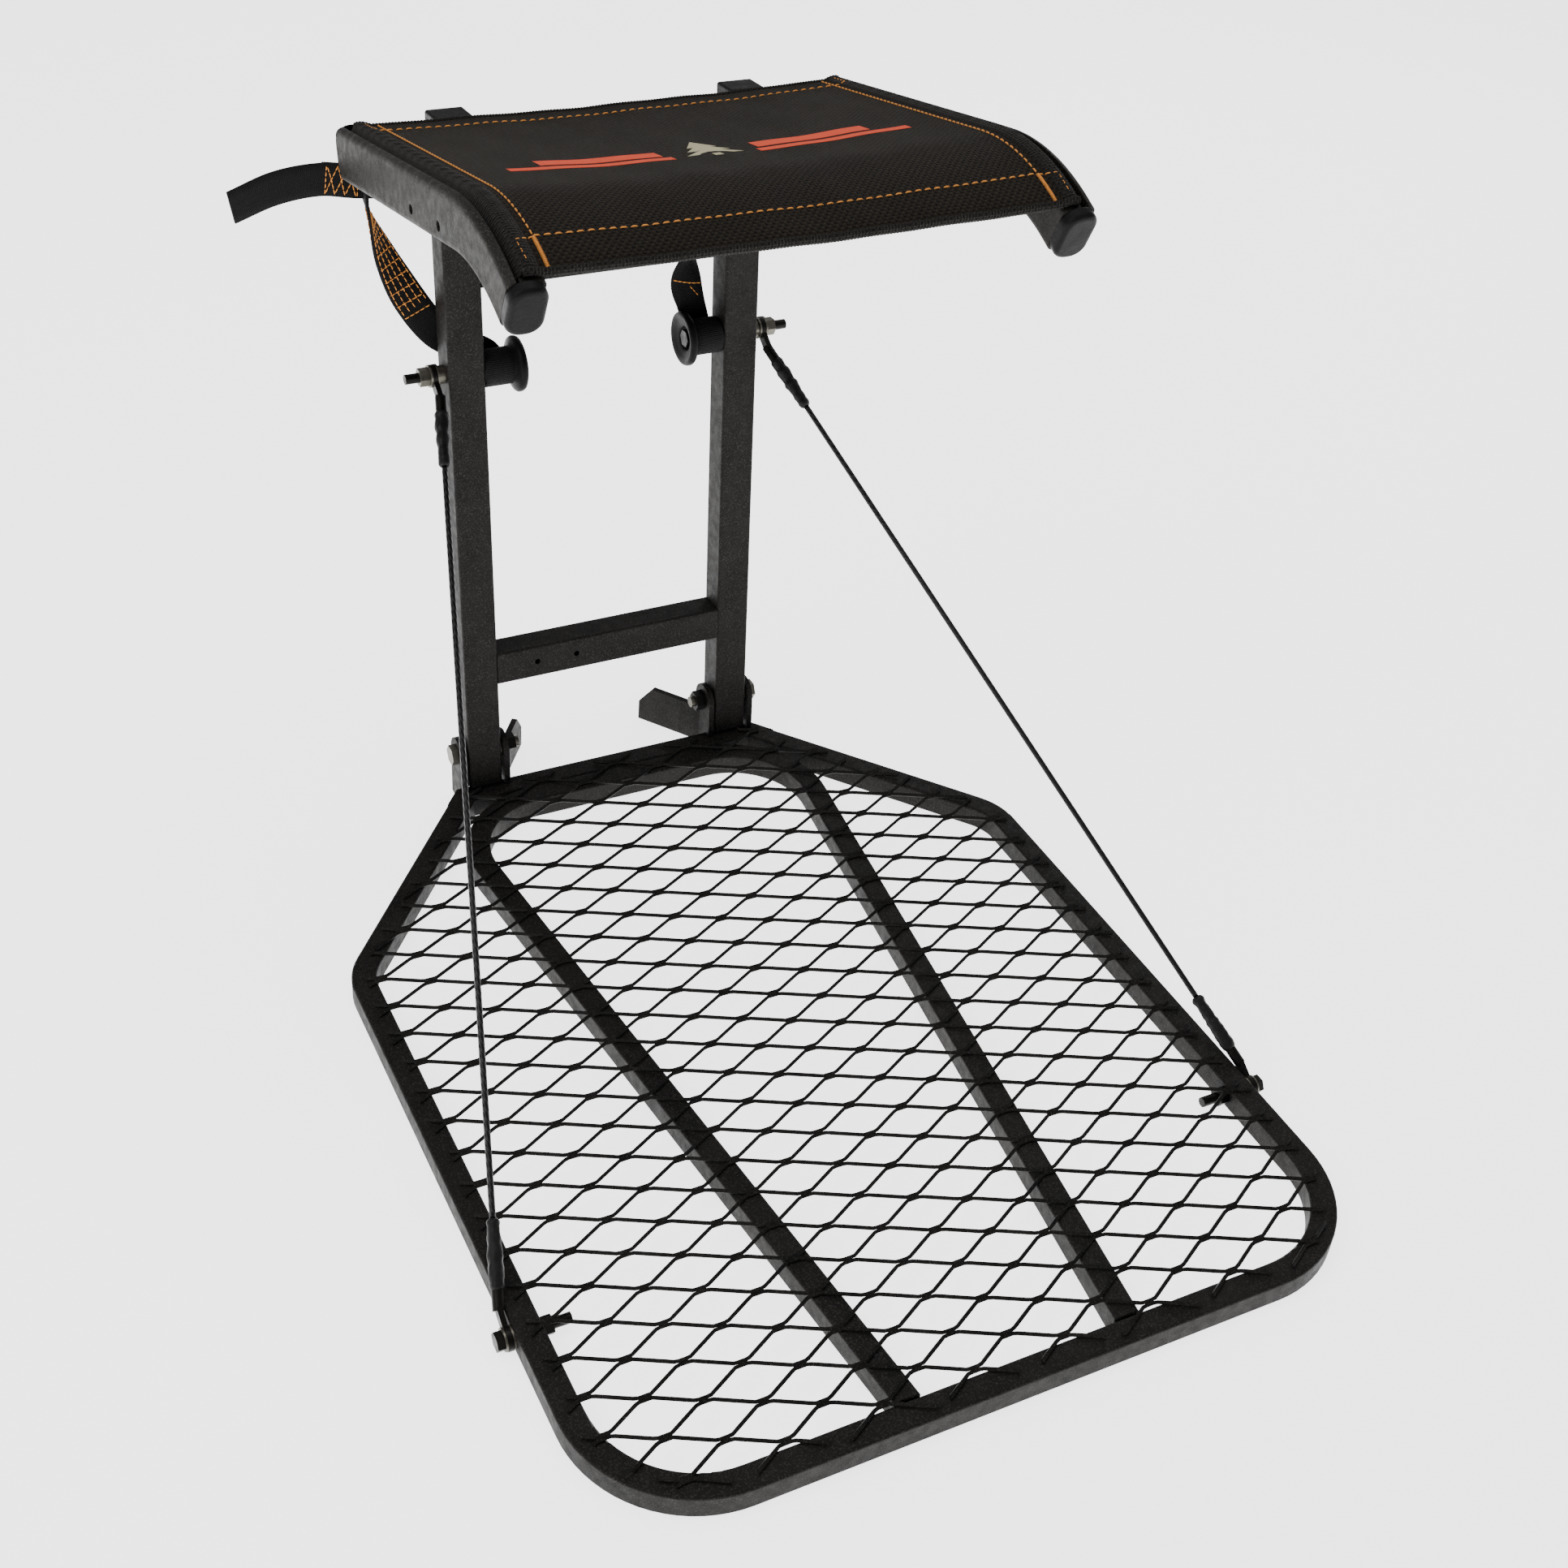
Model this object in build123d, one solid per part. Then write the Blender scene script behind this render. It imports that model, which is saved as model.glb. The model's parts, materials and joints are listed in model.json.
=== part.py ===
from build123d import *
import math
import os

# Hang-on tree stand: a fold-up foot platform, a two-post mast and a flip-up sling seat.
# Millimetres. +Z is up, -Y is the hunter's front, +Y is the tree side, X = 0 is the plane of symmetry.
# While modelling, Y = 0 is the rear face of the platform and Z = 0 is the ground under it.
# The whole stand is moved at the end so that the origin is the bottom centre of its box.

# --- platform ---
PLATFORM_W = 610.0
PLATFORM_D = 749.0
REAR_W = 288.0
SHOULDER_Y = 197.0
SHOULDER_R = 60.0
FRONT_R = 98.0
TUBE = 20.0
TUBE_WALL = 1.5
TUBE_EDGE_R = 2.0
DRAIN_R = 3.0
INNER_REAR_HALF = 165.6
INNER_FRONT_HALF = 87.0
INNER_BEND_R = 74.0
MESH_T = 2.5
MESH_LONG = 70.6
MESH_SHORT = 33.0
MESH_NODE_Y = 82.8
MESH_BOND = 13.0
MESH_WEB = 2.8
MESH_INSET = 10.0
MESH_RIM = 3.0

# --- mast ---
MAST_LEAN = 4.0
POST_W = 30.0
POST_D = 27.0
POST_WALL = 1.6
POST_HALF = 119.5
POST_FRONT = -8.6
POST_LOW = 2.5
POST_TOP = 588.0
CROSS_TOP = 133.2
UPPER_CROSS_TOP = 490.0
CROSS_HOLE_X = (-68.0, -31.7)
CROSS_HOLE_R = 2.5
CAP_T = 4.5

# --- hinge between platform and mast ---
PIVOT_Z = 33.0
PIVOT_R = 5.0
RUN_GAP = 0.05
EAR_T = 5.0
EAR_R = 15.0
EAR_GAP = 2.0
EAR_FRONT = -9.5
CLAW_L = 67.0
CLAW_TURN = 36.0
CLAW_H = 38.0
CLAW_LOW = 2.0

# --- seat ---
SEAT_SLOPE = 7.0
SEAT_NOSE = 28.0
SEAT_REAR_Y = -8.0
SEAT_REAR_Z = 574.0
SEAT_FLAT = 250.0
SEAT_BEND_R = 150.0
SEAT_TAIL = 9.0
RAIL_W = 26.0
RAIL_H = 38.0
RAIL_HALF = 196.0
PLUG_R = 11.5
SLING_T = 2.5
SHELF = 3.0
GROOVE_X = 7.75
GROOVE_W = 3.4
CORD_R = 3.2
CORD_DOWN = 11.5
SEAT_PIVOT_Z = 574.0
SPREADER_R = 9.5
SPREADER_WALL = 1.5
PLATE_T = 5.0
STOP_LOW = 512.0
RAIL_HOLES = (171.0, 228.0)
RAIL_HOLE_R = 3.5

# --- cables ---
CABLE_R = 2.3
CABLE_TOP_Z = 389.0
CABLE_LOW_Y = -572.0
CABLE_BOLT_R = 4.0
LUG_R = 9.0
LUG_T = 4.0
FERRULE_R = 4.2
SLEEVE_R = 5.6
TONGUE_L = 21.0
FERRULE_L = 12.0
SLEEVE_LEN = 48.0
SLEEVE_RIBS = 5

# --- strap spools and tree strap ---
HUB_R = 12.5
HUB_L = 28.0
FLANGE_R = 22.5
FLANGE_T = 6.0
WEB_T = 2.6

CLEAR = 0.3
POST_CY = POST_FRONT + POST_D / 2
POST_IN = POST_HALF - POST_W / 2
POST_OUT = POST_HALF + POST_W / 2
POST_SIDE = (POST_FRONT, POST_FRONT + POST_D)
SIDE = PLATFORM_W / 2
PLATFORM_TOP = TUBE

parts = {}


def both(build):
    """The right-hand piece and its mirror image."""
    right = build()
    return {"right": right, "left": mirror(right, about=Plane.YZ)}


def add_pair(name, build):
    for hand, piece in both(build).items():
        parts[f"{name}_{hand}"] = piece


def add_group(name, pieces):
    parts[name] = Compound(label=name, children=[s for p in pieces for s in p.solids()])


def lean(piece):
    """From the mast's own upright frame, whose Z = 0 is the platform's top, into the leaning pose."""
    return Pos(0, 0, PLATFORM_TOP) * Rot(-MAST_LEAN, 0, 0) * piece


def lean_point(x, y, z):
    return Vector(x, y, z).rotate(Axis.X, -MAST_LEAN) + Vector(0, 0, PLATFORM_TOP)


def block(x0, x1, y0, y1, z0, z1):
    middle = Pos((x0 + x1) / 2, (y0 + y1) / 2, (z0 + z1) / 2)
    return middle * Box(x1 - x0, y1 - y0, z1 - z0)


def rod_x(x0, x1, y, z, r):
    return Pos((x0 + x1) / 2, y, z) * Rot(0, 90, 0) * Cylinder(r, abs(x1 - x0))


def washer_x(x0, x1, y, z, r_out, r_in):
    return rod_x(x0, x1, y, z, r_out) - rod_x(x0 - 1, x1 + 1, y, z, r_in)


def hex_x(x0, x1, y, z, across_flats, r_in=0.0):
    """A hexagonal head or nut along X."""
    low, high = min(x0, x1), max(x0, x1)
    prism = extrude(Plane.YZ * RegularPolygon(across_flats / math.sqrt(3), 6), amount=high - low)
    body = Pos(low, y, z) * prism
    if r_in:
        body -= rod_x(low - 1, high + 1, y, z, r_in)
    return body


def plate_yz(points, x0, x1):
    """A flat plate with its outline in the YZ plane, from x0 to x1."""
    outline = make_face(Polyline(*points, close=True))
    return Pos(x0, 0, 0) * extrude(Plane.YZ * outline, amount=x1 - x0)


# ---------------------------------------------------------------- platform

def platform_outline(inset):
    """The platform's plan outline, moved inwards by inset."""
    half, rear = PLATFORM_W / 2, REAR_W / 2
    corners = [(-rear, 0), (rear, 0), (half, -SHOULDER_Y), (half, -PLATFORM_D),
               (-half, -PLATFORM_D), (-half, -SHOULDER_Y)]
    face = make_face(Polyline(*corners, close=True))
    by_y = face.vertices().group_by(Axis.Y)
    face = fillet(by_y[0], FRONT_R)
    shoulders = [v for v in face.vertices() if abs(v.Y + SHOULDER_Y) < 1]
    face = fillet(shoulders, SHOULDER_R)
    return offset(face, -inset, kind=Kind.INTERSECTION) if inset else face


def ring(inset_out, inset_in, z0, z1):
    flat = platform_outline(inset_out) - platform_outline(inset_in)
    return Pos(0, 0, z0) * extrude(flat, amount=z1 - z0)


def platform_frame():
    """One bent tube: both slanted shoulders, both sides and the front, butted against the rear tube."""
    tube = ring(0, TUBE, 0, TUBE)
    long_edges = [e for e in tube.edges() if abs(e.bounding_box().size.Z) < 0.01]
    tube = fillet(long_edges, TUBE_EDGE_R)
    tube -= ring(TUBE_WALL, TUBE - TUBE_WALL, TUBE_WALL, TUBE - TUBE_WALL)
    tube -= block(-SIDE, SIDE, -TUBE, 1, -1, TUBE + 1)
    for s in (-1, 1):
        tube -= rod_x(s * (SIDE - TUBE - 5), s * (SIDE + 5), CABLE_LOW_Y, TUBE / 2, CABLE_BOLT_R + 0.2)
    return tube


def rear_tube():
    slant = (PLATFORM_W - REAR_W) / 2 / SHOULDER_Y * TUBE
    rear = REAR_W / 2

    def trapezoid(inset):
        y0, y1 = -TUBE + inset, -inset
        x0, x1 = rear + slant - inset * 2, rear - inset * 2 + slant * inset / TUBE
        return make_face(Polyline((-x0, y0), (x0, y0), (x1, y1), (-x1, y1), close=True))

    tube = extrude(trapezoid(0), amount=TUBE)
    along = [e for e in tube.edges().filter_by(Axis.X) if e.length > 100]
    tube = fillet(along, TUBE_EDGE_R)
    tube -= Pos(0, 0, TUBE_WALL) * extrude(trapezoid(TUBE_WALL), amount=TUBE - 2 * TUBE_WALL)
    for x in (-60, 60):
        tube -= Pos(x, -TUBE / 2, 0) * Cylinder(DRAIN_R, 3 * TUBE_WALL)
    return tube


def inner_frame():
    """The U-shaped brace: its closed end lies along the rear tube and its legs close in to the front."""
    y_rear = -1.5 * TUBE - 0.2
    y_front = -PLATFORM_D + TUBE + 0.2
    path = FilletPolyline((-INNER_FRONT_HALF, y_front, 0), (-INNER_REAR_HALF, y_rear, 0),
                          (INNER_REAR_HALF, y_rear, 0), (INNER_FRONT_HALF, y_front, 0),
                          radius=INNER_BEND_R)
    section = RectangleRounded(TUBE, TUBE, TUBE_EDGE_R)
    section -= RectangleRounded(TUBE - 2 * TUBE_WALL, TUBE - 2 * TUBE_WALL, TUBE_EDGE_R / 2)
    start = Plane(origin=path @ 0, z_dir=path % 0, x_dir=(0, 0, 1))
    brace = Pos(0, 0, TUBE / 2) * sweep(start * section, path=path)
    return brace - block(-SIDE, SIDE, -PLATFORM_D, y_front + TUBE_WALL, -1, TUBE + 1)


def clip(polygon, boundary):
    """A convex polygon cut back to a convex boundary whose points run counter-clockwise."""
    for (ax, ay), (bx, by) in zip(boundary, boundary[1:] + boundary[:1]):
        kept = []
        side = [(bx - ax) * (y - ay) - (by - ay) * (x - ax) for x, y in polygon]
        for i, (x, y) in enumerate(polygon):
            px, py = polygon[i - 1]
            if (side[i] >= 0) != (side[i - 1] >= 0):
                t = side[i - 1] / (side[i - 1] - side[i])
                kept.append((px + t * (x - px), py + t * (y - py)))
            if side[i] >= 0:
                kept.append((x, y))
        polygon = kept
        if not polygon:
            return []
    return polygon


def area(polygon):
    ring_of = zip(polygon, polygon[1:] + polygon[:1])
    return 0.5 * sum(ax * by - bx * ay for (ax, ay), (bx, by) in ring_of)


def expanded_mesh():
    """The expanded-metal deck as one flat sheet with its diamond openings cut out."""
    deck = platform_outline(MESH_INSET).face()
    edge = platform_outline(MESH_INSET + MESH_RIM).face().outer_wire()
    steps = 120
    boundary = [((edge @ (i / steps)).X, (edge @ (i / steps)).Y) for i in range(steps)]
    if area(boundary) < 0:
        boundary.reverse()
    half_long = MESH_LONG / 2
    half_short = MESH_SHORT / 2
    reach = half_long - MESH_BOND / 2
    rise = half_short - MESH_WEB / 2 * math.hypot(half_long, half_short) / half_long
    tip = MESH_WEB / 2
    holes = []
    for i in range(-9, 10):
        for j in range(-6, 44):
            if (i + j) % 2 == 0:
                continue
            cx, cy = i * half_long, -MESH_NODE_Y - j * half_short
            cell = [(reach, -tip), (reach, tip), (0, rise), (-reach, tip), (-reach, -tip), (0, -rise)]
            opening = clip([(cx + x, cy + y) for x, y in cell], boundary)
            if len(opening) > 2 and area(opening) > 40:
                holes.append(Wire.make_polygon([Vector(x, y, 0) for x, y in opening], close=True))
    sheet = Face(deck.outer_wire(), holes)
    return Pos(0, 0, PLATFORM_TOP) * extrude(sheet, amount=MESH_T)


# ---------------------------------------------------------------- hinge of the platform

PIVOT = lean_point(0, POST_CY, PIVOT_Z)


def ear(x0, x1, y_back):
    """An upright ear that stands on the rear tube and reaches down behind it."""
    y, z = PIVOT.Y, PIVOT.Z
    points = [(EAR_FRONT, PLATFORM_TOP), (0, PLATFORM_TOP), (0, CLAW_LOW), (y_back, CLAW_LOW),
              (y_back, z), (y - EAR_R, z), (EAR_FRONT, PLATFORM_TOP + 8)]
    plate = plate_yz(points, x0, x1) + rod_x(x0, x1, y, z, EAR_R)
    return plate - rod_x(x0 - 1, x1 + 1, y, z, PIVOT_R + 0.2)


def tree_claw():
    """The inner ear, carried on backwards and inwards as a blade that bites the bark."""
    x1 = POST_IN - EAR_GAP
    x0 = x1 - EAR_T
    plate = ear(x0, x1, PIVOT.Y + EAR_R)
    blade = extrude(Plane.XZ * make_face(Polyline(
        (0, CLAW_LOW), (CLAW_L, CLAW_LOW), (CLAW_L, CLAW_LOW + CLAW_H - 18),
        (CLAW_L - 14, CLAW_LOW + CLAW_H), (0, CLAW_LOW + CLAW_H), close=True)), amount=EAR_T)
    start = x1 - EAR_T * math.cos(math.radians(CLAW_TURN))
    return plate + Pos(start, PIVOT.Y + 4, 0) * Rot(0, 0, 90 + CLAW_TURN) * blade


def outer_ear():
    return ear(POST_OUT + EAR_GAP, POST_OUT + EAR_GAP + EAR_T, PIVOT.Y + EAR_R)


def pivot_bolt():
    """Bolt of the fold hinge: head outside, nut on the inner ear."""
    outside = POST_OUT + EAR_GAP + EAR_T
    inside = POST_IN - EAR_GAP - EAR_T
    y, z = PIVOT.Y, PIVOT.Z
    return rod_x(inside - 13, outside, y, z, PIVOT_R) + hex_x(outside, outside + 6, y, z, 16)


def pivot_nut():
    inside = POST_IN - EAR_GAP - EAR_T
    return hex_x(inside - 9, inside, PIVOT.Y, PIVOT.Z, 16, PIVOT_R)


def pivot_washers():
    y, z = PIVOT.Y, PIVOT.Z
    gap = EAR_GAP - CLEAR
    outer = washer_x(POST_OUT + CLEAR, POST_OUT + CLEAR + gap, y, z, 10, PIVOT_R)
    inner = washer_x(POST_IN - CLEAR - gap, POST_IN - CLEAR, y, z, 10, PIVOT_R)
    return [outer, inner]


# ---------------------------------------------------------------- mast

def square_tube(x, y, z, along):
    """A square tube with rounded edges, open at both ends. x, y and z are its low and high sides."""
    shell = block(*x, *y, *z)
    shell = fillet(shell.edges().filter_by(along), TUBE_EDGE_R)

    def inside(side, axis):
        grow = 1 if axis == along else -POST_WALL
        return side[0] - grow, side[1] + grow

    return shell - block(*inside(x, Axis.X), *inside(y, Axis.Y), *inside(z, Axis.Z))


def post():
    tube = square_tube((POST_IN, POST_OUT), POST_SIDE, (POST_LOW, POST_TOP), Axis.Z)
    for z, r in ((PIVOT_Z, PIVOT_R + RUN_GAP), (CABLE_TOP_Z, CABLE_BOLT_R + 0.2),
                 (SEAT_PIVOT_Z, PIVOT_R + RUN_GAP)):
        tube -= rod_x(POST_IN - 5, POST_OUT + 5, POST_CY, z, r)
    return lean(tube)


def cross_bar(top):
    return square_tube((-POST_IN, POST_IN), POST_SIDE, (top - POST_W, top), Axis.X)


def lower_cross_bar():
    bar = cross_bar(CROSS_TOP)
    for x in CROSS_HOLE_X:
        place = Pos(x, POST_FRONT, CROSS_TOP - POST_W / 2)
        bar -= place * Rot(90, 0, 0) * Cylinder(CROSS_HOLE_R, 4 * POST_WALL)
    return lean(bar)


def post_cap():
    """A plastic plug with a low crowned top, pressed into the post."""
    z = POST_TOP
    top = block(POST_IN, POST_OUT, POST_FRONT, POST_FRONT + POST_D, z, z + CAP_T)
    top = fillet(top.edges().group_by(Axis.Z)[-1] + top.edges().filter_by(Axis.Z), TUBE_EDGE_R)
    inset = POST_WALL + 0.1
    plug = block(POST_IN + inset, POST_OUT - inset, POST_FRONT + inset,
                 POST_FRONT + POST_D - inset, z - 7, z)
    return lean(top + plug)


# ---------------------------------------------------------------- cables

SPACER_T = 5.5
WASHER_T = 1.6
EYE_TOP = lean_point(POST_OUT + SPACER_T + WASHER_T + LUG_T / 2, POST_CY, CABLE_TOP_Z)
EYE_LOW = Vector(SIDE + WASHER_T + LUG_T / 2, CABLE_LOW_Y, TUBE / 2)
IN_SIDE_VIEW = Vector(0, EYE_LOW.Y - EYE_TOP.Y, EYE_LOW.Z - EYE_TOP.Z).normalized()
MOUTH_TOP = EYE_TOP + IN_SIDE_VIEW * TONGUE_L
MOUTH_LOW = EYE_LOW - IN_SIDE_VIEW * TONGUE_L
CABLE_DIR = (MOUTH_LOW - MOUTH_TOP).normalized()


def along_line(start, direction, d0, d1, r):
    """A round bar along a line, from d0 to d1 past its start."""
    plane = Plane(origin=start + direction * d0, z_dir=direction)
    return extrude(plane * Circle(r), amount=d1 - d0)


def lug(eye, flat, direction):
    """Flat eye and tongue beside the tube, then a crimped ferrule that turns along the cable."""
    half = LUG_T / 2
    across = Plane(origin=eye, z_dir=flat, x_dir=(1, 0, 0))
    tongue = extrude(across * Rectangle(LUG_T, 2 * FERRULE_R), amount=TONGUE_L)
    ring_of = rod_x(eye.X - half, eye.X + half, eye.Y, eye.Z, LUG_R)
    ferrule = along_line(eye + flat * TONGUE_L, direction, -2, FERRULE_L, FERRULE_R)
    body = ring_of + tongue + ferrule
    return body - rod_x(eye.X - 8, eye.X + 8, eye.Y, eye.Z, CABLE_BOLT_R + 0.1)


def sleeve(mouth, direction):
    """Ribbed heat-shrink sleeve from the ferrule's mouth down over the cable."""
    body = along_line(mouth, direction, FERRULE_L, FERRULE_L + SLEEVE_LEN, SLEEVE_R)
    for i in range(SLEEVE_RIBS):
        d = FERRULE_L + (i + 0.5) * SLEEVE_LEN / SLEEVE_RIBS
        body += along_line(mouth, direction, d - 1.5, d + 1.5, SLEEVE_R + 0.5)
    return body


def cable():
    covered = FERRULE_L + SLEEVE_LEN
    span = (MOUTH_LOW - MOUTH_TOP).length
    return along_line(MOUTH_TOP, CABLE_DIR, covered, span - covered, CABLE_R)


def upper_cable_bolt():
    """Runs from the recess of the strap spool, through the post and the cable's eye."""
    return lean(rod_x(POST_IN - HUB_L + 2, POST_OUT + 32, POST_CY, CABLE_TOP_Z, CABLE_BOLT_R)
                + hex_x(POST_IN - HUB_L - 3, POST_IN - HUB_L + 2, POST_CY, CABLE_TOP_Z, 13))


def upper_cable_nut():
    x = POST_OUT + SPACER_T + LUG_T + 2 * WASHER_T
    return lean(hex_x(x, x + 8, POST_CY, CABLE_TOP_Z, 13, CABLE_BOLT_R))


def upper_cable_washers():
    """A spacer against the post, and a washer each side of the eye."""
    def ring_at(x0, x1, r):
        return lean(washer_x(POST_OUT + x0, POST_OUT + x1, POST_CY, CABLE_TOP_Z, r, CABLE_BOLT_R))
    inner = SPACER_T + WASHER_T
    outer = inner + LUG_T
    return [ring_at(0, SPACER_T, 7.5), ring_at(SPACER_T, inner, 9), ring_at(outer, outer + WASHER_T, 9)]


def lower_cable_bolt():
    x = SIDE + 2 * WASHER_T + LUG_T
    y, z = CABLE_LOW_Y, TUBE / 2
    return rod_x(SIDE - TUBE - 22, x, y, z, CABLE_BOLT_R) + hex_x(x, x + 5.5, y, z, 13)


def lower_cable_nut():
    x = SIDE - TUBE
    return hex_x(x - 8, x, CABLE_LOW_Y, TUBE / 2, 13, CABLE_BOLT_R)


def lower_cable_washers():
    y, z = CABLE_LOW_Y, TUBE / 2
    eye_out = SIDE + WASHER_T + LUG_T
    outside = washer_x(eye_out, eye_out + WASHER_T, y, z, 8.5, CABLE_BOLT_R)
    inside = washer_x(SIDE, SIDE + WASHER_T, y, z, 8.5, CABLE_BOLT_R)
    return [outside, inside]


# ---------------------------------------------------------------- strap spools and strap

def spool():
    """Moulded spool on the inner side of a post, with a recess for its bolt's head."""
    y, z = POST_CY, CABLE_TOP_Z
    x0 = POST_IN - HUB_L
    body = rod_x(x0, POST_IN, y, z, HUB_R) + rod_x(x0 - FLANGE_T, x0, y, z, FLANGE_R)
    body += rod_x(POST_IN - 4, POST_IN, y, z, HUB_R + 1)
    body -= rod_x(x0 - FLANGE_T - 1, x0 + 2, y, z, 10)
    body -= rod_x(x0, POST_IN + 1, y, z, CABLE_BOLT_R)
    return lean(body)


WEB_BACK = POST_FRONT + POST_D + 2.0


def web_plate(points, y0):
    """A run of webbing as a thin plate facing front and back."""
    outline = make_face(Polyline(*points, close=True))
    plate = extrude(Plane.XZ * outline, amount=-WEB_T)
    return lean(Pos(0, y0, 0) * plate)


def strap_loop(s):
    """The sewn loop of webbing round a spool."""
    x0, x1 = POST_IN - HUB_L + 0.3, POST_IN - 4.3
    r_out = WEB_BACK + WEB_T - POST_CY
    body = washer_x(min(s * x0, s * x1), max(s * x0, s * x1), POST_CY, CABLE_TOP_Z, r_out, r_out - WEB_T)
    return lean(body)


def left_riser():
    """From behind the left spool outwards behind the post, then up to the seat's rear corner."""
    z = CABLE_TOP_Z
    return web_plate([(-80, z + 9.5), (-102, z + 9.5), (-102, z - 13), (-134, z - 2), (-163, z + 24),
                      (-184, z + 92), (-188, z + 150), (-174, z + 150), (-158, z + 100), (-136, z + 50),
                      (-104, z + 20), (-80, z + 14)], WEB_BACK)


def right_riser():
    z = CABLE_TOP_Z
    return web_plate([(79, z + 9.5), (101, z + 9.5), (103, z + 45), (92, z + 75), (92, z + 150),
                      (76, z + 150), (76, z + 75), (67, z + 45), (79, z + 22)], WEB_BACK)


def back_run():
    z = CABLE_TOP_Z + 134
    return web_plate([(-188, z), (96, z - 4), (96, z + 30), (-188, z + 34)], WEB_BACK + WEB_T + CLEAR)


def strap_tail():
    """The strap's folded and stitched end, lying out to the left of the seat."""
    z = CABLE_TOP_Z + 137
    return web_plate([(-189, z), (-189, z + 26), (-225, z + 29), (-262, z + 23), (-288, z + 13),
                      (-288, z - 13), (-262, z - 2), (-225, z + 4)], WEB_BACK + WEB_T + CLEAR)


# ---------------------------------------------------------------- seat

def seat_point(d, up):
    """A point d mm forward along the rail's straight part and up mm above its centreline."""
    a = math.radians(SEAT_SLOPE)
    y = SEAT_REAR_Y - d * math.cos(a) + up * math.sin(a)
    z = SEAT_REAR_Z + d * math.sin(a) + up * math.cos(a)
    return y, z


def rail_path(x, up=0.0, start=0.0, short=0.0):
    """The rail's centreline, or a line up mm above it: straight, bent down over the nose, straight."""
    a, b = math.radians(SEAT_SLOPE), math.radians(SEAT_NOSE)
    r = SEAT_BEND_R + up
    y0, z0 = seat_point(start, up)
    y1, z1 = seat_point(SEAT_FLAT, up)
    turn = a + b
    mid = a - turn / 2
    cy, cz = y1 - r * math.sin(a), z1 - r * math.cos(a)
    ym, zm = cy + r * math.sin(mid), cz + r * math.cos(mid)
    y2, z2 = cy - r * math.sin(b), cz + r * math.cos(b)
    y3, z3 = y2 - (SEAT_TAIL - short) * math.cos(b), z2 - (SEAT_TAIL - short) * math.sin(b)
    first = Line((x, y0, z0), (x, y1, z1))
    bend = ThreePointArc((x, y1, z1), (x, ym, zm), (x, y2, z2))
    last = Line((x, y2, z2), (x, y3, z3))
    return Wire([first.edge(), bend.edge(), last.edge()])


def along_rail(sketch, x, **where):
    """A section drawn across the rail, swept along it. Sketch X is the stand's X and sketch Y is up."""
    path = rail_path(x, **where)
    start = Plane(origin=path @ 0, z_dir=path % 0, x_dir=(1, 0, 0))
    return sweep(start * sketch, path=path)


def rail_section():
    """Outer lip, groove for the sling's edge cord, inner shelf, and a hollow lower chamber."""
    w, h = RAIL_W / 2, RAIL_H / 2
    body = RectangleRounded(RAIL_W, RAIL_H, 6)
    shelf_w = RAIL_W - GROOVE_X
    body -= Pos(-w + shelf_w / 2 - 5, h) * Rectangle(shelf_w + 10, 2 * SHELF)
    groove = w - GROOVE_X
    body -= Pos(groove, h - CORD_DOWN) * Circle(CORD_R + 0.6)
    body -= Pos(groove, h - CORD_DOWN / 2 + 1) * Rectangle(GROOVE_W, CORD_DOWN + 2)
    chamber_h = RAIL_H - CORD_DOWN - CORD_R - 7.0
    body -= Pos(0, -h + 2.2 + chamber_h / 2) * RectangleRounded(RAIL_W - 4.4, chamber_h, 4)
    return body


def seat_rail():
    rail = along_rail(rail_section(), RAIL_HALF)
    for d in RAIL_HOLES:
        y, z = seat_point(d, -7)
        rail -= rod_x(RAIL_HALF - RAIL_W, RAIL_HALF + RAIL_W, y, z, RAIL_HOLE_R)
    return lean(rail)


def rail_plug(end):
    """Moulded plug over an open end of a rail: rounded face outside, short stub inside."""
    path = rail_path(RAIL_HALF)
    at = 0 if end == "rear" else 1
    out = (path % at) * (1 if at else -1)
    plane = Plane(origin=path @ at + out * CLEAR, z_dir=out, x_dir=(1, 0, 0))
    face = extrude(plane * RectangleRounded(RAIL_W, RAIL_H + 2, PLUG_R), amount=9 if at else 3)
    rim = face.faces().sort_by(Axis((0, 0, 0), tuple(out)))[-1].edges()
    face = fillet(rim, 4 if at else 2)
    low = RAIL_H / 2 - 2.2
    chamber_h = RAIL_H - CORD_DOWN - CORD_R - 7.0
    up = -1 if plane.y_dir.Z < 0 else 1
    stub = plane * (Pos(0, up * (-low + chamber_h / 2)) * RectangleRounded(RAIL_W - 5, chamber_h - 0.6, 3.5))
    return lean(face + extrude(stub, amount=-10))


def sling():
    """The fabric as one closed sheet over both rails, with its edges turned down into the grooves."""
    up = RAIL_H / 2 - SHELF + 0.1 + SLING_T / 2
    inner = RAIL_HALF + RAIL_W / 2 - GROOVE_X
    half = inner + 1.2
    sheet = Rectangle(2 * half, SLING_T)
    for s in (-1, 1):
        drop = CORD_DOWN - CORD_R - 1.0 - SHELF
        sheet += Pos(s * inner, -drop / 2) * Rectangle(2.4, drop)
    return lean(along_rail(sheet, 0, up=up, start=6.0, short=2.0))


def sling_cord():
    """The stiff cord inside the sling's hem, which locks it in the groove."""
    x = RAIL_HALF + RAIL_W / 2 - GROOVE_X
    return lean(along_rail(Circle(CORD_R), x, up=RAIL_H / 2 - CORD_DOWN, start=6.0, short=1.0))


def spreader(d, up):
    """A round tube welded between the two rails."""
    y, z = seat_point(d, up)
    half = RAIL_HALF - RAIL_W / 2
    return lean(washer_x(-half, half, y, z, SPREADER_R, SPREADER_R - SPREADER_WALL))


REAR_SPREADER = (42.0, -7.0)
FRONT_SPREADER = (200.0, -7.0)


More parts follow.
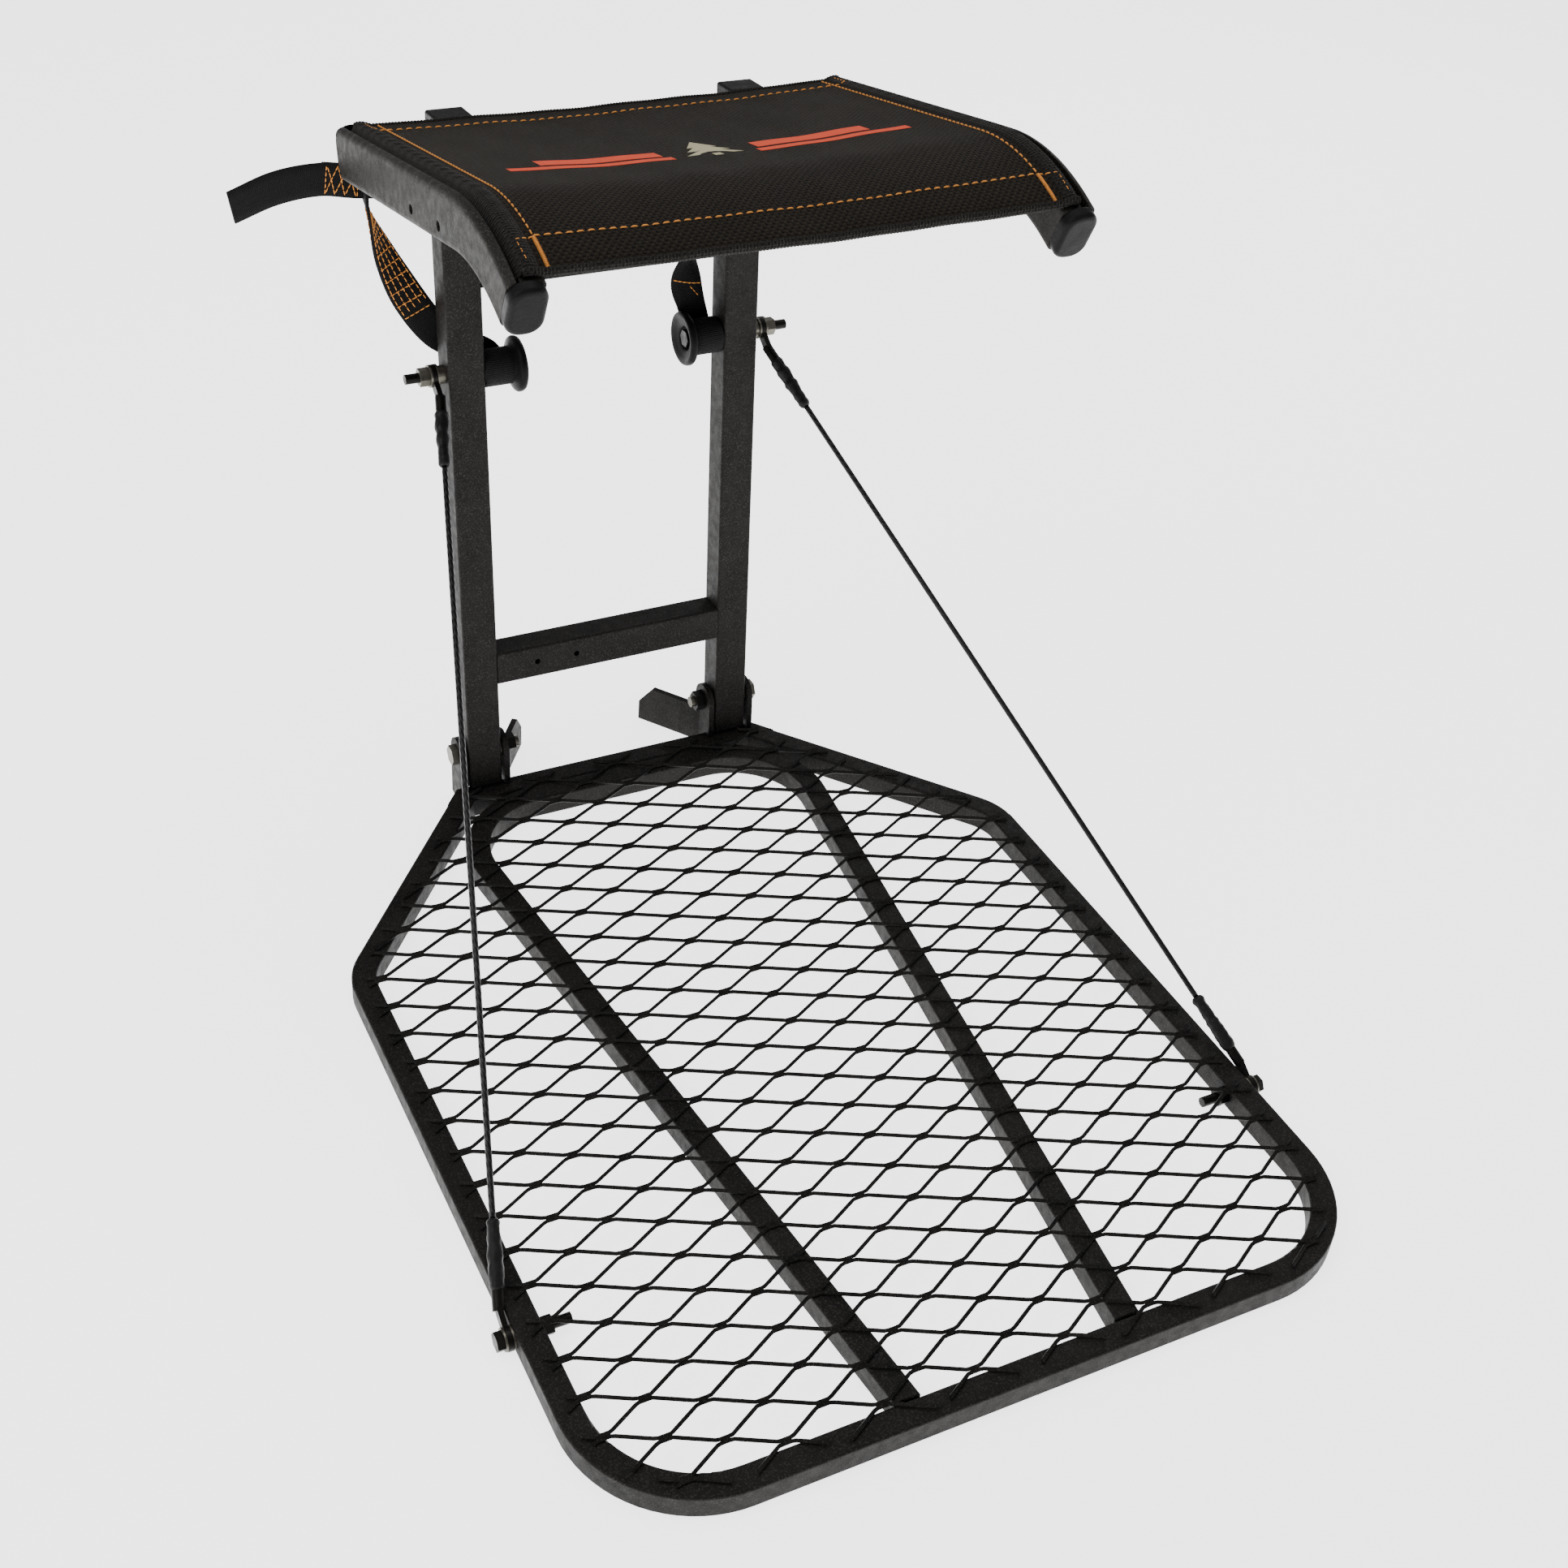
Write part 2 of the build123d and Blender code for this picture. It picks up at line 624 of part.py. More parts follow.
def seat_hinge_plate(x0):
    """Plate beside a post: bolt hole at the top, arm to the rear spreader, leg down to the stop bar."""
    sy, sz = seat_point(*REAR_SPREADER)
    py, pz = POST_CY, SEAT_PIVOT_Z
    front = POST_FRONT - CLEAR
    points = [(py + 4, pz + 11), (py + 11, pz + 4), (py + 11, pz - 6), (front, STOP_LOW),
              (front - 14, STOP_LOW), (front - 16, STOP_LOW + 25), (sy - 4, sz - 11), (sy - 12, sz - 6),
              (sy - 12, sz + 5), (py - 5, pz + 11)]
    plate = plate_yz(points, x0, x0 + PLATE_T)
    plate -= rod_x(x0 - 1, x0 + PLATE_T + 1, sy, sz, SPREADER_R)
    plate -= block(x0 - 1, x0 + PLATE_T + 1, front - 6, front + 1, STOP_LOW - 1, STOP_LOW + 25)
    return lean(plate - rod_x(x0 - 1, x0 + PLATE_T + 1, py, pz, PIVOT_R + 0.2))


def seat_hinge_plates():
    gap = 0.5
    return [seat_hinge_plate(POST_OUT + gap), seat_hinge_plate(POST_IN - gap - PLATE_T)]


def seat_stop_bar():
    half = POST_OUT + 0.5 + PLATE_T
    front = POST_FRONT - CLEAR
    return lean(block(-half, half, front - 6, front, STOP_LOW, STOP_LOW + 25))


def seat_pivot_bolt():
    outside = POST_OUT + 0.5 + PLATE_T
    inside = POST_IN - 0.5 - PLATE_T
    y, z = POST_CY, SEAT_PIVOT_Z
    return lean(rod_x(inside - 10, outside, y, z, PIVOT_R) + hex_x(outside, outside + 6, y, z, 16))


def seat_pivot_nut():
    inside = POST_IN - 0.5 - PLATE_T
    return lean(hex_x(inside - 8, inside, POST_CY, SEAT_PIVOT_Z, 16, PIVOT_R))


def mirrored(pieces):
    return list(pieces) + [mirror(p, about=Plane.YZ) for p in pieces]


# ---------------------------------------------------------------- the stand

parts["platform_frame"] = platform_frame()
parts["platform_rear_tube"] = rear_tube()
parts["platform_inner_frame"] = inner_frame()
parts["platform_mesh"] = expanded_mesh()
add_pair("tree_claw", tree_claw)
add_pair("hinge_ear", outer_ear)
add_group("hinge_bolts", mirrored([pivot_bolt()]))
add_group("hinge_nuts", mirrored([pivot_nut()]))
add_group("hinge_washers", mirrored(pivot_washers()))
add_group("lower_cable_bolts", mirrored([lower_cable_bolt()]))
add_group("lower_cable_nuts", mirrored([lower_cable_nut()]))
add_group("lower_cable_washers", mirrored(lower_cable_washers()))
add_pair("lower_cable_lug", lambda: lug(EYE_LOW, -IN_SIDE_VIEW, -CABLE_DIR))
add_pair("lower_cable_sleeve", lambda: sleeve(MOUTH_LOW, -CABLE_DIR))
add_pair("cable", cable)

add_pair("post", post)
parts["cross_bar"] = lower_cross_bar()
parts["upper_cross_bar"] = lean(cross_bar(UPPER_CROSS_TOP))
add_pair("post_cap", post_cap)
add_pair("strap_spool", spool)
add_group("upper_cable_bolts", mirrored([upper_cable_bolt()]))
add_group("upper_cable_nuts", mirrored([upper_cable_nut()]))
add_group("upper_cable_washers", mirrored(upper_cable_washers()))
add_pair("upper_cable_lug", lambda: lug(EYE_TOP, IN_SIDE_VIEW, CABLE_DIR))
add_pair("upper_cable_sleeve", lambda: sleeve(MOUTH_TOP, CABLE_DIR))
add_group("strap_loops", [strap_loop(1), strap_loop(-1)])
parts["strap_left_riser"] = left_riser()
parts["strap_right_riser"] = right_riser()
parts["strap_back_run"] = back_run()
parts["strap_tail"] = strap_tail()

add_pair("seat_rail", seat_rail)
add_group("rail_front_plugs", mirrored([rail_plug("front")]))
add_group("rail_rear_plugs", mirrored([rail_plug("rear")]))
parts["seat_sling"] = sling()
add_group("sling_edge_cords", mirrored([sling_cord()]))
parts["seat_rear_spreader"] = spreader(*REAR_SPREADER)
parts["seat_front_spreader"] = spreader(*FRONT_SPREADER)
add_group("seat_hinge_plates", mirrored(seat_hinge_plates()))
parts["seat_stop_bar"] = seat_stop_bar()
add_group("seat_pivot_bolts", mirrored([seat_pivot_bolt()]))
add_group("seat_pivot_nuts", mirrored([seat_pivot_nut()]))

boxes = [p.bounding_box() for p in parts.values()]
low_y = min(b.min.Y for b in boxes)
high_y = max(b.max.Y for b in boxes)
SHIFT = Vector(0, -(low_y + high_y) / 2, -min(b.min.Z for b in boxes))

os.makedirs("parts", exist_ok=True)
for name, piece in parts.items():
    export_step(Pos(*SHIFT) * piece, f"parts/{name}.step")

PLACES = {
    "fold axis": PIVOT,
    "seat axis": lean_point(0, POST_CY, SEAT_PIVOT_Z),
    "upper cable eye": EYE_TOP,
    "lower cable eye": EYE_LOW,
    "cross bar hole": lean_point(CROSS_HOLE_X[-1], POST_FRONT, CROSS_TOP - POST_W / 2),
    "rail hole rear": lean_point(RAIL_HALF, *seat_point(RAIL_HOLES[0], -7)),
    "rail hole front": lean_point(RAIL_HALF, *seat_point(RAIL_HOLES[1], -7)),
    "left spool hub": lean_point(-POST_IN + HUB_L / 2, POST_CY, CABLE_TOP_Z),
    "platform underside": Vector(0, -TUBE / 2, 0),
}
print("cable length", round((MOUTH_LOW - MOUTH_TOP).length + 2 * TONGUE_L, 1))
for name, place in PLACES.items():
    moved = place + SHIFT
    print(name, round(moved.X, 2), round(moved.Y, 2), round(moved.Z, 2))
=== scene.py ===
"""Looks of the hang-on tree stand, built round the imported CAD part.

Lengths in the helpers are millimetres, and they come out in the frame's metres.
"""

import json
import math

import bpy
import numpy as np
from mathutils import Matrix, Vector


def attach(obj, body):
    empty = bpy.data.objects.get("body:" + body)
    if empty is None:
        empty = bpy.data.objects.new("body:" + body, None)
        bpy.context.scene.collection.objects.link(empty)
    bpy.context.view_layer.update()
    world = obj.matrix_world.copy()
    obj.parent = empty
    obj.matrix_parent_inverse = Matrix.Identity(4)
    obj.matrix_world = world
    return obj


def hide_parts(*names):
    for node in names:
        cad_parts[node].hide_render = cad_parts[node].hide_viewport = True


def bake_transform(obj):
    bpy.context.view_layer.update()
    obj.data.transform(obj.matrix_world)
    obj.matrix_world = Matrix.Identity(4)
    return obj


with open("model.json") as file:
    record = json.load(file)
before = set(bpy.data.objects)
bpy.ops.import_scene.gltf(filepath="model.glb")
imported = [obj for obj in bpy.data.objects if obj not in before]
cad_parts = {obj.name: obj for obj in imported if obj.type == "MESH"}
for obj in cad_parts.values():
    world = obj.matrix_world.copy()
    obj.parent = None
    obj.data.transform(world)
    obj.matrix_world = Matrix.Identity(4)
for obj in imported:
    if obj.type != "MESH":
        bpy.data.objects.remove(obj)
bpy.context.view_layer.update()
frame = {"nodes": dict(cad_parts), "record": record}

SHIFT_Y = 340.33  # from the platform drawing's rear face to the frame's origin
DECK_TOP = 20.0
LEAN = math.radians(4.0)
COS, SIN = math.cos(LEAN), math.sin(LEAN)
rng = np.random.default_rng(7)


def flat(x, y, z):
    """Platform drawing point (rear face at y = 0) into the row frame, in metres."""
    return np.array((x, y + SHIFT_Y, z), float) / 1000


def mast(x, y, z):
    """Point of the mast's own upright frame into the row frame, in metres."""
    return np.array((x, y * COS + z * SIN + SHIFT_Y, -y * SIN + z * COS + DECK_TOP), float) / 1000


def mast_dir(x, y, z):
    v = np.array((x, y * COS + z * SIN, -y * SIN + z * COS), float)
    return v / np.linalg.norm(v)


# ---------------------------------------------------------------- camera, light, floor

eye = Vector((-0.61079, -1.07962, 1.17087))
ahead = Vector((0.39034, 0.69414, -0.60482)).normalized()
up = Vector((0.21839, 0.56838, 0.79326))
right = ahead.cross(up).normalized()
up = right.cross(ahead).normalized()
lens = bpy.data.cameras.new("camera")
lens.sensor_width = 36.0
lens.lens = 48.09
lens.clip_start = 0.01
lens.clip_end = 50
camera = bpy.data.objects.new("camera", lens)
camera.matrix_world = Matrix((
    (right.x, up.x, -ahead.x, eye.x),
    (right.y, up.y, -ahead.y, eye.y),
    (right.z, up.z, -ahead.z, eye.z),
    (0, 0, 0, 1),
))
bpy.context.collection.objects.link(camera)
bpy.context.scene.camera = camera

world = bpy.data.worlds.new("studio")
world.use_nodes = True
world.node_tree.nodes["Background"].inputs["Color"].default_value = (1, 1, 1, 1)
world.node_tree.nodes["Background"].inputs["Strength"].default_value = 0.38
bpy.context.scene.world = world


def area_light(name, at, to, size, power, colour=(1, 1, 1)):
    data = bpy.data.lights.new(name, "AREA")
    data.shape = "RECTANGLE"
    data.size, data.size_y = size
    data.energy = power
    data.color = colour
    obj = bpy.data.objects.new(name, data)
    obj.location = at
    obj.rotation_euler = (Vector(to) - Vector(at)).to_track_quat("-Z", "Y").to_euler()
    bpy.context.collection.objects.link(obj)


area_light("key", (-1.9, -0.3, 2.2), (0, 0, 0.3), (1.6, 1.6), 30)
area_light("top", (0.2, 0.3, 2.8), (0, 0, 0.2), (2.2, 1.6), 26)
area_light("rim", (1.8, 1.9, 1.4), (0, 0.1, 0.3), (1.2, 1.2), 9)

# ---------------------------------------------------------------- node helpers


class Shade:
    """A material under construction: nodes are made by name and linked by (node, socket) pairs."""

    def __init__(self, name):
        self.material = bpy.data.materials.new(name)
        self.material.use_nodes = True
        self.tree = self.material.node_tree
        self.shader = self.tree.nodes["Principled BSDF"]

    def node(self, kind):
        return self.tree.nodes.new(kind)

    def put(self, node, socket, value):
        target = node.inputs[socket]
        if isinstance(value, bpy.types.NodeSocket):
            self.tree.links.new(value, target)
        else:
            target.default_value = value
        return node

    def coords(self, cloth=False):
        if cloth:
            made = self.node("ShaderNodeUVMap")
            made.uv_map = "cloth"
            return made.outputs["UV"]
        return self.node("ShaderNodeTexCoord").outputs["Object"]

    def noise(self, where, scale, detail=2.0, rough=0.5):
        made = self.node("ShaderNodeTexNoise")
        self.put(made, "Vector", where)
        self.put(made, "Scale", scale)
        self.put(made, "Detail", detail)
        self.put(made, "Roughness", rough)
        return made.outputs["Fac"]

    def ramp(self, fac, stops):
        made = self.node("ShaderNodeValToRGB")
        self.put(made, "Fac", fac)
        ramp = made.color_ramp
        while len(ramp.elements) < len(stops):
            ramp.elements.new(0.5)
        for element, (at, colour) in zip(ramp.elements, stops):
            element.position = at
            element.color = (*colour, 1) if len(colour) == 3 else colour
        return made.outputs["Color"]

    def range(self, value, low, high, to_low, to_high):
        made = self.node("ShaderNodeMapRange")
        self.put(made, "Value", value)
        self.put(made, "From Min", low)
        self.put(made, "From Max", high)
        self.put(made, "To Min", to_low)
        self.put(made, "To Max", to_high)
        return made.outputs["Result"]

    def math(self, op, a, b=0.0):
        made = self.node("ShaderNodeMath")
        made.operation = op
        self.put(made, 0, a)
        self.put(made, 1, b)
        return made.outputs[0]

    def mix(self, fac, a, b, blend="MIX"):
        made = self.node("ShaderNodeMix")
        made.data_type = "RGBA"
        made.blend_type = blend
        self.put(made, 0, fac)
        self.put(made, 6, a if isinstance(a, bpy.types.NodeSocket) else (*a, 1))
        self.put(made, 7, b if isinstance(b, bpy.types.NodeSocket) else (*b, 1))
        return made.outputs[2]

    def bump(self, height, strength, distance, normal=None):
        made = self.node("ShaderNodeBump")
        self.put(made, "Height", height)
        self.put(made, "Strength", strength)
        self.put(made, "Distance", distance)
        if normal is not None:
            self.put(made, "Normal", normal)
        return made.outputs["Normal"]

    def split(self, where):
        made = self.node("ShaderNodeSeparateXYZ")
        self.put(made, 0, where)
        return made.outputs

    def set(self, **values):
        for key, value in values.items():
            self.put(self.shader, key.replace("_", " "), value)
        return self.material


def grey(r, g=None, b=None):
    return (r, r if g is None else g, r if b is None else b)


def soft_edges(s, radius):
    made = s.node("ShaderNodeBevel")
    made.samples = 4
    s.put(made, "Radius", radius)
    return made.outputs["Normal"]


def powder_coat(name, dark, light):
    """Satin powder coat: orange-peel bump, fine pale speckle, broad mottling, softened edges."""
    s = Shade(name)
    at = s.coords()
    mottle = s.ramp(s.noise(at, 26, 5, 0.62), [(0.34, dark), (0.68, light)])
    speck = s.ramp(s.noise(at, 820, 1.5, 0.6), [(0.50, grey(0)), (0.74, grey(1))])
    pale = tuple(min(1, c * 3.6 + 0.016) for c in light)
    colour = s.mix(s.math("MULTIPLY", speck, 0.55), mottle, pale)
    dirt = s.ramp(s.noise(at, 7, 4, 0.7), [(0.42, grey(0)), (0.70, grey(1))])
    dust = tuple(c * 1.3 + 0.003 for c in light)
    colour = s.mix(s.math("MULTIPLY", dirt, 0.35), colour, dust)
    rough = s.range(s.noise(at, 140, 3), 0.3, 0.7, 0.46, 0.64)
    peel = s.noise(at, 640, 2)
    normal = s.bump(peel, 0.35, 0.0004, soft_edges(s, 0.0009))
    return s.set(Base_Color=colour, Roughness=rough, Specular_IOR_Level=0.10, Normal=normal)


def zinc(name, tint, rough):
    s = Shade(name)
    at = s.coords()
    colour = s.mix(s.noise(at, 300, 4, 0.7), tuple(c * 0.72 for c in tint), tint)
    normal = s.bump(s.noise(at, 900, 2), 0.15, 0.0002, soft_edges(s, 0.0006))
    rough = s.range(s.noise(at, 240, 3), 0.3, 0.7, rough, rough + 0.2)
    return s.set(Base_Color=colour, Metallic=0.9, Roughness=rough, Normal=normal)


def plastic(name, colour, rough, grain=0.0006):
    s = Shade(name)
    at = s.coords()
    tone = s.mix(s.noise(at, 45, 4), tuple(c * 0.7 for c in colour), tuple(c * 1.35 for c in colour))
    normal = s.bump(s.noise(at, 520, 3), 0.3, grain, soft_edges(s, 0.0012))
    rough = s.range(s.noise(at, 90, 3), 0.3, 0.7, rough - 0.08, rough + 0.1)
    return s.set(Base_Color=tone, Roughness=rough, Specular_IOR_Level=0.08, Normal=normal)


def shrink(name):
    s = Shade(name)
    at = s.coords()
    tone = s.mix(s.noise(at, 180, 4), grey(0.004), grey(0.014, 0.0135, 0.013))
    normal = s.bump(s.noise(at, 260, 3), 0.5, 0.0008)
    rough = s.range(s.noise(at, 120, 3), 0.3, 0.7, 0.34, 0.58)
    return s.set(Base_Color=tone, Roughness=rough, Specular_IOR_Level=0.16, Normal=normal)


def vinyl(name):
    """Black vinyl over a twisted wire rope: the strands show faintly as slanting ridges."""
    s = Shade(name)
    u, v, _ = s.split(s.coords(cloth=True))
    around = s.math("MULTIPLY", u, 2 * math.pi * 7)
    twist = s.math("SINE", s.math("ADD", around, s.math("MULTIPLY", v, 900.0)))
    # painted shade and highlight: the tone follows the twist bump, lighter on the strand ridges and darker in
    # the grooves between them
    tone = s.mix(s.range(twist, -1, 1, 0, 1), grey(0.003), grey(0.009))
    normal = s.bump(twist, 0.4, 0.0003)
    return s.set(Base_Color=tone, Roughness=0.3, Specular_IOR_Level=0.2, Coat_Weight=0.1,
                 Coat_Roughness=0.15, Normal=normal)


def weave(name, dark, light, pitch, sheen=0.06, depth=0.0005, mottle=0.5, rough=0.82):
    """Plain weave drawn from two crossed thread waves, offset so over and under alternate."""
    s = Shade(name)
    uv = s.coords(cloth=True)
    u, v, _ = s.split(uv)
    k = math.pi / pitch
    a = s.math("SINE", s.math("MULTIPLY", u, k))
    b = s.math("SINE", s.math("MULTIPLY", v, k))
    over = s.math("MULTIPLY", a, b)
    thread = s.range(over, -1, 1, 0, 1)
    fuzz = s.noise(uv, 2400, 2)
    height = s.math("ADD", s.math("ABSOLUTE", over), s.math("MULTIPLY", fuzz, 0.5))
    colour = s.mix(thread, dark, light)
    patch = s.ramp(s.noise(uv, 14, 4, 0.6), [(0.35, grey(1 - mottle * 0.5)), (0.65, grey(1))])
    colour = s.mix(1.0, colour, patch, "MULTIPLY")
    fleck = s.ramp(s.noise(uv, 1300, 1.0), [(0.58, grey(0)), (0.78, grey(1))])
    pale = tuple(min(1, c * 2.2 + 0.02) for c in light)
    colour = s.mix(s.math("MULTIPLY", fleck, 0.5), colour, pale)
    normal = s.bump(height, 0.7, depth)
    return s.set(Base_Color=colour, Roughness=rough, Sheen_Weight=sheen, Sheen_Roughness=0.5,
                 Specular_IOR_Level=0.08, Normal=normal)


def webbing(name):
    """Heavy polyester webbing: fine ribs across, with a slight herringbone."""
    s = Shade(name)
    uv = s.coords(cloth=True)
    u, v, _ = s.split(uv)
    repeat = s.math("FRACT", s.math("MULTIPLY", u, 230.0))
    chevron = s.math("ABSOLUTE", s.math("SUBTRACT", repeat, 0.5))
    ribs = s.math("SINE", s.math("ADD", s.math("MULTIPLY", v, 4200.0), s.math("MULTIPLY", chevron, 5.0)))
    # painted shade and highlight: the tone follows the rib bump, lighter on the rib crests and darker in the
    # troughs between them
    tone = s.mix(s.range(ribs, -1, 1, 0, 1), grey(0.0025, 0.0025, 0.0028), grey(0.0085, 0.0082, 0.009))
    tone = s.mix(s.math("MULTIPLY", s.noise(uv, 160, 3), 0.4), tone, grey(0.013, 0.0125, 0.0135))
    normal = s.bump(ribs, 0.6, 0.0004)
    return s.set(Base_Color=tone, Roughness=0.78, Sheen_Weight=0.02, Specular_IOR_Level=0.1, Normal=normal)


def thread(name, colour, glow):
    s = Shade(name)
    at = s.coords()
    tone = s.mix(s.noise(at, 1500, 2), colour, glow)
    normal = s.bump(s.noise(at, 3000, 1), 0.4, 0.0002)
    return s.set(Base_Color=tone, Roughness=0.8, Sheen_Weight=0.05, Specular_IOR_Level=0.1, Normal=normal)


look = {
    "frame_paint": powder_coat("frame_paint", (0.0055, 0.0050, 0.0046), (0.0120, 0.0108, 0.0098)),
    "mesh_paint": powder_coat("mesh_paint", (0.0050, 0.0047, 0.0043), (0.0110, 0.0100, 0.0092)),
    "rail_paint": powder_coat("rail_paint", (0.0070, 0.0063, 0.0056), (0.0150, 0.0134, 0.0118)),
    "zinc_steel": zinc("zinc_steel", (0.15, 0.142, 0.118), 0.28),
    "black_steel": zinc("black_steel", (0.014, 0.013, 0.012), 0.34),
    "black_plastic": plastic("black_plastic", (0.0045, 0.0045, 0.0045), 0.44),
    "heat_shrink": shrink("heat_shrink"),
    "cable_jacket": vinyl("cable_jacket"),
    "sling_fabric": weave("sling_fabric", (0.0015, 0.0012, 0.0009), (0.0240, 0.0188, 0.0130), 0.0026,
                          sheen=0.02, depth=0.0010),
    "webbing": webbing("webbing"),
}
binding = weave("sling_binding", (0.0030, 0.0026, 0.0022), (0.0160, 0.0138, 0.0112), 0.0022, depth=0.0010)
orange = thread("orange_thread", (0.62, 0.20, 0.028), (0.80, 0.36, 0.09))
print_orange = thread("print_orange", (0.62, 0.050, 0.016), (0.74, 0.080, 0.028))
print_cream = thread("print_cream", (0.36, 0.34, 0.20), (0.46, 0.42, 0.28))

slot_of = {s["node"]: s["material_slot"] for s in frame["record"]["subparts"]}
for name, obj in frame["nodes"].items():
    obj.data.materials.clear()
    obj.data.materials.append(look[slot_of[name]])

# ---------------------------------------------------------------- mesh helpers


def piece(name, verts, faces, material, body, replaces=(), uv=None, smooth=True):
    data = bpy.data.meshes.new(name)
    data.from_pydata([tuple(map(float, v)) for v in verts], [], faces)
    if smooth:
        data.polygons.foreach_set("use_smooth", [True] * len(data.polygons))
    if uv is not None:
        layer = data.uv_layers.new(name="cloth")
        index = np.empty(len(data.loops), int)
        data.loops.foreach_get("vertex_index", index)
        layer.data.foreach_set("uv", np.asarray(uv, float)[index].ravel())
    data.validate()
    data.update()
    obj = bpy.data.objects.new(name, data)
    obj.data.materials.append(material)
    bpy.context.collection.objects.link(obj)
    if body:
        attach(obj, body)
    if replaces:
        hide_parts(*replaces)
    return obj


class Bag:
    """Collects many small closed shapes into one mesh."""

    def __init__(self):
        self.verts, self.faces, self.uv = [], [], []

    def add(self, verts, faces, uv=None):
        base = len(self.verts)
        self.verts += [tuple(v) for v in verts]
        self.faces += [[base + i for i in f] for f in faces]
        self.uv += [tuple(p) for p in (uv if uv is not None else [(0, 0)] * len(verts))]

    def make(self, name, material, body, replaces=(), smooth=True):
        return piece(name, self.verts, self.faces, material, body, replaces, self.uv, smooth)


def loft(rings, closed=True, cap=True):
    """Faces through rings of equal length; a closed ring joins its last point to its first."""
    n = len(rings[0])
    verts = [p for ring in rings for p in ring]
    faces = []
    span = n if closed else n - 1
    for i in range(len(rings) - 1):
        for k in range(span):
            a, b = i * n + k, i * n + (k + 1) % n
            faces.append([a, b, b + n, a + n])
    if cap and closed:
        faces.append(list(range(n))[::-1])
        faces.append([(len(rings) - 1) * n + k for k in range(n)])
    return verts, faces


def frames(points):
    """Tangents and a transported pair of normals along a polyline."""
    p = np.asarray(points, float)
    t = np.gradient(p, axis=0)
    t /= np.linalg.norm(t, axis=1)[:, None]
    side = np.cross(t[0], (0, 0, 1.0))
    if np.linalg.norm(side) < 0.1:
        side = np.cross(t[0], (0, 1.0, 0))
    out = []
    for d in t:
        side = side - d * (side @ d)
        side /= np.linalg.norm(side)
        out.append((d, side, np.cross(d, side)))
    return out


def tube(points, radius, sides=10, wobble=None):
    """Round tube along points. radius is a number or one per point."""
    p = np.asarray(points, float)
    r = np.full(len(p), radius) if np.isscalar(radius) else np.asarray(radius, float)
    length = np.concatenate([[0], np.cumsum(np.linalg.norm(np.diff(p, axis=0), axis=1))])
    rings, uv = [], []
    for i, (_, a, b) in enumerate(frames(p)):
        ring = []
        for k in range(sides):
            w = 2 * math.pi * k / sides
            rr = r[i] * (1 + (wobble(i, w) if wobble else 0))
            ring.append(p[i] + rr * (math.cos(w) * a + math.sin(w) * b))
            uv.append((k / sides, length[i]))
        rings.append(ring)
    verts, faces = loft(rings)
    return verts, faces, uv


def smooth_line(points, n):
    """Catmull-Rom through points, n samples, evenly spread."""
    p = np.asarray(points, float)
    p = np.vstack([2 * p[0] - p[1], p, 2 * p[-1] - p[-2]])
    out = []
    for k in range(1, len(p) - 2):
        for t in np.linspace(0, 1, 40, endpoint=False):
            a, b, c, d = p[k - 1:k + 3]
            square, cube = 2 * a - 5 * b + 4 * c - d, 3 * b - a - 3 * c + d
            out.append(0.5 * (2 * b + (c - a) * t + square * t * t + cube * t ** 3))
    out.append(p[-2])
    out = np.asarray(out)
    dist = np.concatenate([[0], np.cumsum(np.linalg.norm(np.diff(out[:, :3], axis=0), axis=1))])
    want = np.linspace(0, dist[-1], n)
    return np.stack([np.interp(want, dist, out[:, k]) for k in range(out.shape[1])], 1)


class Ribbon:
    """Flat strap: centres and width directions are interpolated together, with an optional width for each."""

    def __init__(self, stations, thick, n):
        rows = smooth_line([[*c, *(np.asarray(w) / np.linalg.norm(w)), width] for c, w, width in stations], n)
        self.c = rows[:, :3]
        t = np.gradient(self.c, axis=0)
        self.t = t / np.linalg.norm(t, axis=1)[:, None]
        w = rows[:, 3:6]
        w = w - self.t * np.sum(w * self.t, axis=1)[:, None]
        self.w = w / np.linalg.norm(w, axis=1)[:, None]
        self.n = np.cross(self.t, self.w)
        self.width = rows[:, 6]
        self.thick = thick
        self.s = np.concatenate([[0], np.cumsum(np.linalg.norm(np.diff(self.c, axis=0), axis=1))])

    def at(self, s, across, off):
        """Point at arc length s, across from -0.5 to 0.5 of the width, off metres from the middle layer."""
        pick = [np.array([np.interp(s, self.s, a[:, k]) for k in range(3)]) for a in (self.c, self.w, self.n)]
        return pick[0] + pick[1] * across * np.interp(s, self.s, self.width) + pick[2] * off

    def mesh(self):
        h = self.thick / 2
        shape = [(-0.5, 0.4), (-0.485, 1), (-0.25, 1), (0, 1), (0.25, 1), (0.485, 1), (0.5, 0.4),
                 (0.5, -0.4), (0.485, -1), (0.25, -1), (0, -1), (-0.25, -1), (-0.485, -1), (-0.5, -0.4)]
        rings, uv = [], []
        for c, w, n, width, s in zip(self.c, self.w, self.n, self.width, self.s):
            rings.append([c + w * a * width + n * h * b for a, b in shape])
            uv += [(a * width + (0.1 if b < 0 else 0), s) for a, b in shape]
        verts, faces = loft(rings)
        return verts, faces, uv


def stitch(bag, points, radius):
    """One visible stitch: a short capsule through the given points, its ends tapered into the cloth."""
    p = np.asarray(points, float)
    if len(p) == 2:
        p = np.array([p[0], p[0] * 0.8 + p[1] * 0.2, p[0] * 0.2 + p[1] * 0.8, p[1]])
        r = [radius * 0.45, radius, radius, radius * 0.45]
    else:
        r = [radius * 0.45] + [radius] * (len(p) - 2) + [radius * 0.45]
    bag.add(*tube(p, r, 6))


# ---------------------------------------------------------------- expanded-metal deck

PLATFORM_W, PLATFORM_D, REAR_W, SHOULDER_Y = 610.0, 749.0, 288.0, 197.0
LONG, SHORT, NODE_Y = 70.6, 33.0, 82.8


